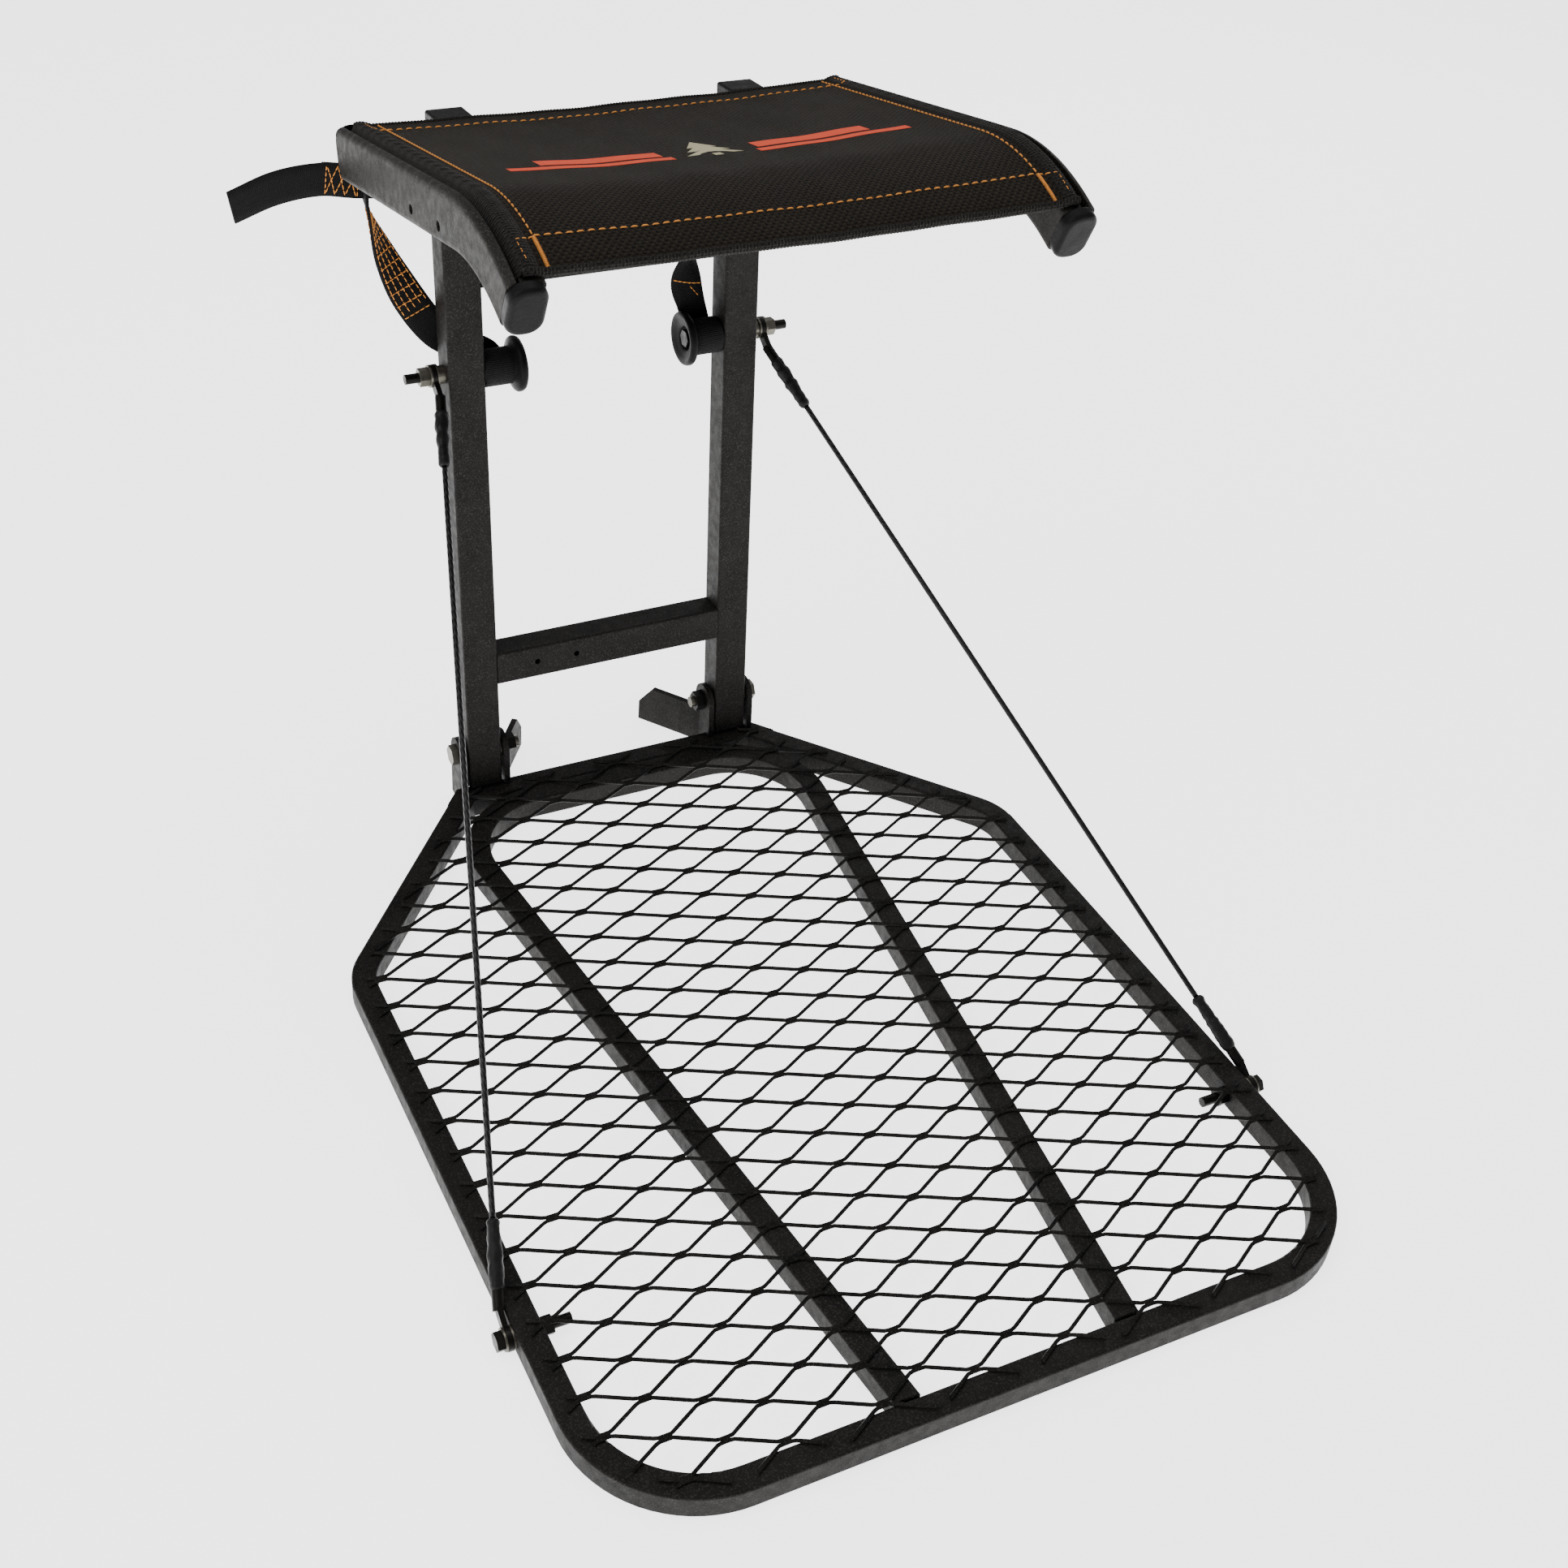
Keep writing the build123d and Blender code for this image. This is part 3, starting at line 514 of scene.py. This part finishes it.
def rounded(corners, radii, steps=14):
    """Outline with its corners rounded."""
    out = []
    n = len(corners)
    for i, r in enumerate(radii):
        p, a, b = (np.asarray(corners[k % n], float) for k in (i, i - 1, i + 1))
        if r == 0:
            out.append(p)
            continue
        u, v = (a - p) / np.linalg.norm(a - p), (b - p) / np.linalg.norm(b - p)
        half = math.acos(np.clip(u @ v, -1, 1)) / 2
        reach = r / math.tan(half)
        centre = p + (u + v) / np.linalg.norm(u + v) * r / math.sin(half)
        p0, p1 = p + u * reach, p + v * reach
        a0 = math.atan2(*(p0 - centre)[::-1])
        a1 = math.atan2(*(p1 - centre)[::-1])
        turn = (a1 - a0 + math.pi) % (2 * math.pi) - math.pi
        for t in np.linspace(0, 1, steps):
            w = a0 + turn * t
            out.append(centre + r * np.array((math.cos(w), math.sin(w))))
    return np.array(out)


half_w, half_r = PLATFORM_W / 2, REAR_W / 2
outline = rounded([(-half_r, 0), (half_r, 0), (half_w, -SHOULDER_Y), (half_w, -PLATFORM_D),
                   (-half_w, -PLATFORM_D), (-half_w, -SHOULDER_Y)], [0, 0, 60, 98, 98, 60])


def inside_by(x, y):
    """How far inside the platform's outline a point is."""
    a = outline
    b = np.roll(outline, -1, axis=0)
    d = b - a
    p = np.array((x, y))
    t = np.clip(np.sum((p - a) * d, axis=1) / np.sum(d * d, axis=1), 0, 1)
    near = np.min(np.linalg.norm(p - (a + d * t[:, None]), axis=1))
    straddles = (a[:, 1] > y) != (b[:, 1] > y)
    cross = straddles & (x < (b[:, 0] - a[:, 0]) * (y - a[:, 1]) / (b[:, 1] - a[:, 1] + 1e-9) + a[:, 0])
    return near if np.count_nonzero(cross) % 2 else -near


STRAND_W, STRAND_T, TILT = 2.6, 1.7, math.radians(34)
BOND = 5.2  # half the length over which two strands are joined
EDGE = 8.0  # how far inside the outline the strands end
STRAND_STEP = 3.0
STRAND_SECTION = [(-1, -1), (-0.4, -1.06), (0.4, -1.06), (1, -1), (1, 1), (0.4, 1.06), (-0.4, 1.06), (-1, 1)]
strands = Bag()
lift = DECK_TOP + STRAND_W * math.sin(TILT) + STRAND_T / 2 * math.cos(TILT)
for j in range(-5, 42):
    line, piece_runs, run = [], [], []
    for i in range(-10, 11):
        x0 = i * LONG / 2
        toward = 0 if (i + j) % 2 == 0 else 1
        node_y = -NODE_Y - (j + toward) * SHORT / 2
        sign = -1 if toward == 0 else 1
        y0 = node_y + sign * STRAND_W / 2 * math.cos(TILT)
        z0 = lift + sign * STRAND_W / 2 * math.sin(TILT)
        for dx in (-BOND, 0.0, BOND):
            line.append((x0 + dx, y0, z0))
    line = np.array(line)
    for x in np.arange(-half_w, half_w + 0.1, STRAND_STEP):
        y = np.interp(x, line[:, 0], line[:, 1])
        z = np.interp(x, line[:, 0], line[:, 2])
        if inside_by(x, y) > EDGE + 1.6 * math.sin(x * 0.21 + j):
            run.append((x, y, z))
        elif run:
            piece_runs.append(run)
            run = []
    if run:
        piece_runs.append(run)
    for run in piece_runs:
        if len(run) < 3:
            continue
        rings = []
        run = np.array(run)
        slope = np.gradient(run[:, 1]) / np.maximum(np.gradient(run[:, 0]), 1e-6)
        for (x, y, z), k in zip(run, slope):
            w = STRAND_W / 2 * math.sqrt(1 + k * k)
            ring = []
            for a, b in STRAND_SECTION:
                dy = a * w * math.cos(TILT) - b * STRAND_T / 2 * math.sin(TILT)
                dz = a * STRAND_W / 2 * math.sin(TILT) + b * STRAND_T / 2 * math.cos(TILT)
                ring.append(flat(x, y + dy, z + dz))
            rings.append(ring)
        strands.add(*loft(rings))
strands.make("deck_mesh", look["mesh_paint"], "platform", ["platform_mesh"], smooth=False)

# ---------------------------------------------------------------- sling seat

SLOPE, NOSE = math.radians(7), math.radians(28)
RAIL_FLAT, RAIL_BEND = 250.0, 150.0
ARC = RAIL_BEND * (SLOPE + NOSE)


def rail_line(s, rise):
    """Point (y, z) in the mast frame s mm along the rail's centreline and rise mm above it."""
    y0, z0 = -8.0, 574.0
    if s <= RAIL_FLAT:
        a = SLOPE
        y, z = y0 - s * math.cos(a), z0 + s * math.sin(a)
    else:
        y1, z1 = y0 - RAIL_FLAT * math.cos(SLOPE), z0 + RAIL_FLAT * math.sin(SLOPE)
        cy, cz = y1 - RAIL_BEND * math.sin(SLOPE), z1 - RAIL_BEND * math.cos(SLOPE)
        turned = min((s - RAIL_FLAT) / RAIL_BEND, SLOPE + NOSE)
        a = SLOPE - turned
        y, z = cy + RAIL_BEND * math.sin(a), cz + RAIL_BEND * math.cos(a)
        rest = max(0.0, s - RAIL_FLAT - ARC)
        y, z = y - rest * math.cos(NOSE), z - rest * math.sin(NOSE)
    return y + rise * math.sin(a), z + rise * math.cos(a)


S0, S1 = 7.0, RAIL_FLAT + ARC + 3.0
CLOTH_TOP = 19.2


def cloth_rise(x, s):
    """Height of the cloth above the rail's centreline: slack in the middle, rolled up over the edge cord."""
    ax = abs(x)
    tight = math.sin(math.pi * np.clip((s - S0) / (S1 - S0), 0, 1)) * 0.6 + 0.4
    sag = 6.5 * tight * (1 - (min(ax, 182) / 182) ** 2)
    rise = CLOTH_TOP - sag
    if ax > 184:
        t = (ax - 184) / (201.3 - 184)
        rise += 2.3 * math.sin(math.pi * min(1, t)) - 7.0 * max(0, t - 0.72) / 0.28 * (t > 0.72)
    crease = 0.35 * math.sin(x * 0.045 + s * 0.011) + 0.25 * math.sin(x * 0.11 - s * 0.03 + 1.1)
    return rise + crease * (1 - (min(ax, 182) / 182) ** 4)


def on_cloth(x, s, off=0.0):
    y, z = rail_line(s, cloth_rise(x, s) + off)
    return mast(x, y, z)


xs = np.concatenate([-np.array([201.3, 200.2, 198.6, 196, 193, 190, 187, 184]), np.linspace(-181, 181, 62),
                     np.array([184, 187, 190, 193, 196, 198.6, 200.2, 201.3])])
ss = np.linspace(S0, S1, 74)
verts, uv, faces = [], [], []
for s in ss:
    for x in xs:
        verts.append(on_cloth(x, s))
        uv.append((x / 1000, s / 1000))
n = len(xs)
for i in range(len(ss) - 1):
    for k in range(n - 1):
        a = i * n + k
        faces.append([a, a + n, a + n + 1, a + 1])
sling = piece("sling", verts, faces, look["sling_fabric"], "seat", ["seat_sling"], uv)
solid = sling.modifiers.new("thickness", "SOLIDIFY")
solid.thickness = 0.0014
solid.offset = -1

hems = Bag()
for side in (-1, 1):
    rings, luv = [], []
    count = 640
    for m in range(count + 1):
        s = S0 + (S1 - S0) * m / count
        rib = 0.16 * math.cos(2 * math.pi * s / 2.6)
        ring = []
        for k in range(9):
            t = k / 8
            x = 185.5 + 15.5 * t
            ring.append(on_cloth(side * x, s, 0.3 + (0.5 + rib) * math.sin(math.pi * t)))
            luv.append((x / 1000, s / 1000))
        for k in range(8, -1, -4):
            x = 185.5 + 15.5 * k / 8
            ring.append(on_cloth(side * x, s, -0.9))
            luv.append((x / 1000, s / 1000))
        rings.append(ring)
    v, f = loft(rings)
    if side < 0:
        f = [q[::-1] for q in f]
    hems.add(v, f, luv)


def hem_roll(s_edge, radius, outward):
    """Folded hem at the sling's front or rear edge: a ribbed roll across the seat."""
    rings, luv = [], []
    count = 1200
    for m in range(count + 1):
        x = -197 + 394 * m / count
        rib = 1 + 0.10 * math.cos(2 * math.pi * x / 2.4)
        ring = []
        for k in range(10):
            w = 2 * math.pi * k / 10
            ds = outward * radius * 0.75 * math.cos(w) * rib
            dz = radius * 1.15 * math.sin(w) * rib - radius * 0.35
            ring.append(on_cloth(x, s_edge + ds, dz))
            luv.append((x / 1000, w * radius / 1000))
        rings.append(ring)
    v, f = loft(rings)
    hems.add(v, f, luv)


hem_roll(S1, 3.1, 1)
hem_roll(S0, 2.0, -1)
edge_binding = hems.make("sling_edges", binding, "seat", ["sling_edge_cords"])

stitches = Bag()


def seam(points, pitch=6.6, gap=2.0, radius=0.52, rise=0.45):
    """A run of lock stitches on the cloth between (x, s) points."""
    p = np.asarray(points, float)
    length = np.concatenate([[0], np.cumsum(np.linalg.norm(np.diff(p, axis=0), axis=1))])
    at = 0.0
    long = pitch - gap
    while at + long <= length[-1]:
        ends = []
        for along, lift_by in ((0, -0.1), (0.25, rise), (0.75, rise), (1, -0.1)):
            d = at + long * along
            x, s = np.interp(d, length, p[:, 0]), np.interp(d, length, p[:, 1])
            ends.append(on_cloth(x, s, lift_by))
        stitch(stitches, ends, radius / 1000)
        at += pitch


FRONT_HEM, REAR_HEM = S1 - 27, S0 + 24
for side in (-1, 1):
    seam([(side * 180, S0 + 3), (side * 180, S1 - 3)], 5.6, 1.5, 0.58)
    seam([(side * 180, FRONT_HEM + 1), (side * 193, FRONT_HEM + 4), (side * 192, S1 - 5)], 5.0, 1.2, 0.5)
    seam([(side * 190, REAR_HEM), (side * 180, REAR_HEM)], 5.0, 1.2, 0.5)
    seam([(side * 190, REAR_HEM), (side * 190, S0 + 4)], 5.0, 1.2, 0.5)
    for m in range(24):
        s = FRONT_HEM + 1 + m * 1.05
        wide = 1.5
        stitch(stitches, [on_cloth(side * (180 - wide), s, 0.2), on_cloth(side * 180, s + 0.3, 1.0),
                          on_cloth(side * (180 + wide), s + 0.6, 0.2)], 0.00055)
seam([(-180, FRONT_HEM), (180, FRONT_HEM)], 7.2, 2.4, 0.56)
seam([(-180, REAR_HEM), (180, REAR_HEM)], 7.2, 2.4, 0.56)
sling_stitches = stitches.make("sling_stitches", orange, "seat")


def patch(outline_xs, rise=0.22):
    """A flat printed shape on the cloth: outline points are (x, s), filled as strips across."""
    top = [on_cloth(x, s, rise) for x, s in outline_xs]
    low = [on_cloth(x, s, -0.3) for x, s in outline_xs]
    m = len(top)
    f = [list(range(m))] + [[k, (k + 1) % m, m + (k + 1) % m, m + k] for k in range(m)]
    return top + low, f


emblem = Bag()
emblem_mid = 196.0
for x0, x1, s0, s1 in ((-150, -32, -10, -1), (32, 150, -10, -1), (-124, -36, 4, 20), (36, 124, 4, 20)):
    steps = 14
    for m in range(steps):
        a, b = x0 + (x1 - x0) * m / steps, x0 + (x1 - x0) * (m + 1) / steps
        near, far = emblem_mid - s0, emblem_mid - s1
        emblem.add(*patch([(a, near), (b, near), (b, far), (a, far)]))
seat_print = emblem.make("seat_print", print_orange, "seat", smooth=False)
tree = Bag()
for low, high, wide in ((-4, 14, 21), (8, 27, 16), (20, 40, 11)):
    for m in range(6):
        t0, t1 = m / 6, (m + 1) / 6
        a, b = wide * (1 - t0), wide * (1 - t1)
        s0, s1 = emblem_mid - low - (high - low) * t0, emblem_mid - low - (high - low) * t1
        tree.add(*patch([(-a, s0), (a, s0), (b + 0.01, s1), (-b - 0.01, s1)]))
foot, top = emblem_mid + 11, emblem_mid + 4
tree.add(*patch([(-3, foot), (3, foot), (3, top), (-3, top)]))
seat_tree = tree.make("seat_print_tree", print_cream, "seat", smooth=False)

# ---------------------------------------------------------------- tree strap

POST_CY = 4.9
POST_INNER_X = 104.5
HUB_Z = 389.0
HUB_X = 90.5


def stations(rows):
    return [(mast(*c), mast_dir(*w), width / 1000) for c, w, width in rows]


straps = Bag()
strap_thread = Bag()
WEB = 0.0022


def add_ribbon(rows, n=90):
    made = Ribbon(stations(rows), WEB, n)
    straps.add(*made.mesh())
    return made


left = add_ribbon([
    ((-176, 27, 548), (0.10, 1, 0.1), 20),
    ((-183, 20, 536), (0.12, 1, 0.05), 22),
    ((-181.5, 18, 517), (0.25, 0.95, 0.08), 25),
    ((-171, 19, 484), (0.72, 0.62, 0.25), 26),
    ((-154, 20.4, 448), (0.86, 0.10, 0.42), 27),
    ((-134, 21.0, 419), (0.78, 0.0, 0.62), 27),
    ((-112, 20.8, 404), (0.78, 0.0, 0.60), 26),
    ((-95, 19.6, 395), (0.97, 0.0, 0.25), 25),
    ((-90.5, 18.9, 386), (1, 0, 0), 25),
], 130)
right_riser = add_ribbon([
    ((84, 22, 548), (0.3, 0.95, 0), 20),
    ((83, 20, 505), (0.34, 0.94, 0), 22),
    ((82.5, 19.5, 466), (0.50, 0.86, 0), 25),
    ((81, 19.5, 434), (0.98, 0.1, 0.16), 28),
    ((86, 19.8, 413), (0.98, 0, 0.12), 25),
    ((90, 19.2, 398), (1, 0, 0), 24),
    ((90.5, 18.9, 386), (1, 0, 0), 24),
], 110)
tail = add_ribbon([
    ((-110, 24.2, 538), (0, 0.03, 1), 25),
    ((-150, 24.0, 539), (0, 0.03, 1), 25),
    ((-186, 22.0, 543), (0, 0.05, 1), 25),
    ((-217, 18.0, 549), (-0.02, -0.05, 1), 25),
    ((-252, 12.0, 548), (-0.12, -0.12, 1), 26),
    ((-287, 4.0, 540), (-0.24, -0.20, 1), 26),
], 110)
add_ribbon([
    ((-110, 26.4, 538), (0, 0.03, 1), 25),
    ((-150, 26.2, 539), (0, 0.03, 1), 25),
    ((-186, 24.2, 543), (0, 0.05, 1), 25),
    ((-216, 20.2, 549), (-0.02, -0.05, 1), 25),
], 60)
add_ribbon([
    ((-112, 24.0, 537), (0, 0, 1), 25),
    ((-40, 25.0, 534), (0, 0.1, 1), 25),
    ((40, 25.0, 534), (0, 0.1, 1), 25),
    ((92, 22.6, 540), (0.25, 0.1, 1), 24),
], 80)

for side in (-1, 1):
    ring_rows = []
    for k in range(49):
        w = 2 * math.pi * k / 48
        r = 13.9 + 0.2 * math.sin(3 * w)
        ring_rows.append((mast(side * HUB_X, POST_CY + r * math.cos(w), HUB_Z + r * math.sin(w)),
                          mast_dir(1, 0, 0), 0.026))
    straps.add(*Ribbon(ring_rows, WEB, 72).mesh())
straps.make("tree_strap", look["webbing"], "mast",
            ["strap_loops", "strap_left_riser", "strap_right_riser", "strap_back_run", "strap_tail"])


def lathe_x(profile, side, x0, y, z, sides=48):
    """A turned piece on a mast-frame axis along X: profile is (distance inwards from x0, radius)."""
    rings = []
    for d, r in profile:
        rings.append([mast(side * (x0 - d), y + max(r, 0.05) * math.cos(2 * math.pi * k / sides),
                           z + max(r, 0.05) * math.sin(2 * math.pi * k / sides)) for k in range(sides)])
    return loft(rings)


SPOOL = [(0, 13.4), (2.6, 13.4), (3.4, 12.6), (20, 12.5), (23, 13.3), (25.4, 16), (26.8, 19.6), (28, 21.7),
         (29.4, 22.5), (31.6, 22.4), (33.2, 21.6), (33.9, 20.2), (33.6, 18.6), (32.2, 15.8), (31.0, 12.6),
         (30.4, 10.4), (29.6, 9.6), (27.2, 9.4), (27.0, 0)]
for side, hand in ((-1, "left"), (1, "right")):
    v, f = lathe_x(SPOOL, side, POST_INNER_X, POST_CY, HUB_Z)
    piece(f"spool_{hand}", v, f, look["black_plastic"], "mast", [f"strap_spool_{hand}"])


def ribbon_seam(made, points, face, pitch=4.4, gap=1.1, radius=0.42):
    """Stitches on one face of a ribbon between (s mm, across) points."""
    p = np.asarray(points, float)
    wide = float(np.mean(made.width)) * 1000
    metric = np.stack([p[:, 0], p[:, 1] * wide], 1)
    length = np.concatenate([[0], np.cumsum(np.linalg.norm(np.diff(metric, axis=0), axis=1))])
    at = 0.0
    long = pitch - gap
    while at + long <= length[-1] + 0.5:
        stitched = []
        for along, off in ((0, 0), (0.3, 1), (0.7, 1), (1, 0)):
            d = at + long * along
            s, across = np.interp(d, length, p[:, 0]), np.interp(d, length, p[:, 1])
            stitched.append(made.at(s / 1000, across, face * (WEB / 2 + off * 0.00035)))
        stitch(strap_thread, stitched, radius / 1000)
        at += pitch


def seam_grid(made, s0, s1, rows, columns, face):
    for k in range(columns):
        a = -0.40 + 0.80 * k / (columns - 1)
        ribbon_seam(made, [(s0, a), (s1, a)], face, 5.2, 1.0)
    for k in range(rows):
        s = s0 + (s1 - s0) * k / (rows - 1)
        ribbon_seam(made, [(s - 2, -0.44), (s + 2, 0.44)], face, 4.4, 0.5, 0.46)


for face in (-1, 1):
    seam_grid(left, 30, 122, 9, 5, face)
    base = 78.0
    ribbon_seam(tail, [(base, -0.42), (base, 0.42)], face)
    ribbon_seam(tail, [(base + 26, -0.42), (base + 26, 0.42)], face)
    for k in range(3):
        a, b = base + 1 + 8.2 * k, base + 9.2 + 8.2 * k
        ribbon_seam(tail, [(a, -0.42), (b, 0.42)], face, 4.4, 0.5)
        ribbon_seam(tail, [(a, 0.42), (b, -0.42)], face, 4.4, 0.5)
    ribbon_seam(right_riser, [(112, -0.45), (121, 0.45)], face, 4.0, 0.3, 0.5)
    ribbon_seam(right_riser, [(121, 0.1), (132, 0.3)], face, 4.0, 0.6, 0.4)
strap_thread.make("strap_stitches", orange, "mast")

# ---------------------------------------------------------------- cables


def node_points(name):
    data = frame["nodes"][name].data
    co = np.empty(len(data.vertices) * 3)
    data.vertices.foreach_get("co", co)
    return co.reshape(-1, 3)


def ends(name):
    """The two ends of a long round node, on its axis, the lower first."""
    p = node_points(name)
    mid = p.mean(axis=0)
    axis = np.linalg.svd(p - mid, full_matrices=False)[2][0]
    if axis[2] < 0:
        axis = -axis
    t = (p - mid) @ axis
    low = p[t < t.min() + 0.0005].mean(axis=0)
    high = p[t > t.max() - 0.0005].mean(axis=0)
    return low, high


CABLE_R = 0.0023
for hand in ("left", "right"):
    low, high = ends(f"cable_{hand}")
    points = [low + (high - low) * t for t in np.linspace(0, 1, 140)]
    v, f, luv = tube(points, CABLE_R, 14)
    cable = piece(f"stay_cable_{hand}", v, f, look["cable_jacket"], None,
                  [f"cable_{hand}"], luv)
    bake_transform(cable)
    for end in ("lower", "upper"):
        name = f"{end}_cable_sleeve_{hand}"
        a, b = ends(name)
        if end == "upper":
            a, b = b, a
        count = 60
        radii = []
        phase = rng.uniform(0, 6, 4)
        for m in range(count + 1):
            t = m / count
            r = 5.5 - 1.1 * t
            r += 0.55 * math.exp(-((t - 0.52) / 0.05) ** 2) + 0.45 * math.exp(-((t - 0.28) / 0.06) ** 2)
            r += 0.5 * math.exp(-((t - 0.93) / 0.035) ** 2)
            r += 0.18 * math.sin(23 * t + phase[0]) + 0.12 * math.sin(47 * t + phase[1])
            if t < 0.04:
                r *= 0.82 + 4.5 * t
            if t > 0.97:
                r *= 1 - (t - 0.97) * 9
            radii.append(r / 1000)
        line = [a + (b - a) * m / count for m in range(count + 1)]

        def dented(i, w):
            return 0.035 * math.sin(2 * w + i * 0.11 + phase[2]) + 0.02 * math.sin(5 * w - i * 0.3)

        v, f, luv = tube(line, radii, 22, dented)
        body = "platform" if end == "lower" else "mast"
        piece(f"cable_sleeve_{end}_{hand}", v, f, look["heat_shrink"], body, [name], luv)

# ---------------------------------------------------------------- floor

floor = bpy.data.meshes.new("floor")
floor.from_pydata([(-12, -12, 0), (12, -12, 0), (12, 12, 0), (-12, 12, 0)], [], [[0, 1, 2, 3]])
ground = bpy.data.objects.new("floor", floor)
s = Shade("floor")
floor.materials.append(s.set(Base_Color=(0.92, 0.92, 0.92, 1), Roughness=0.9,
                             Emission_Color=(1, 1, 1, 1), Emission_Strength=2.6))
bpy.context.collection.objects.link(ground)
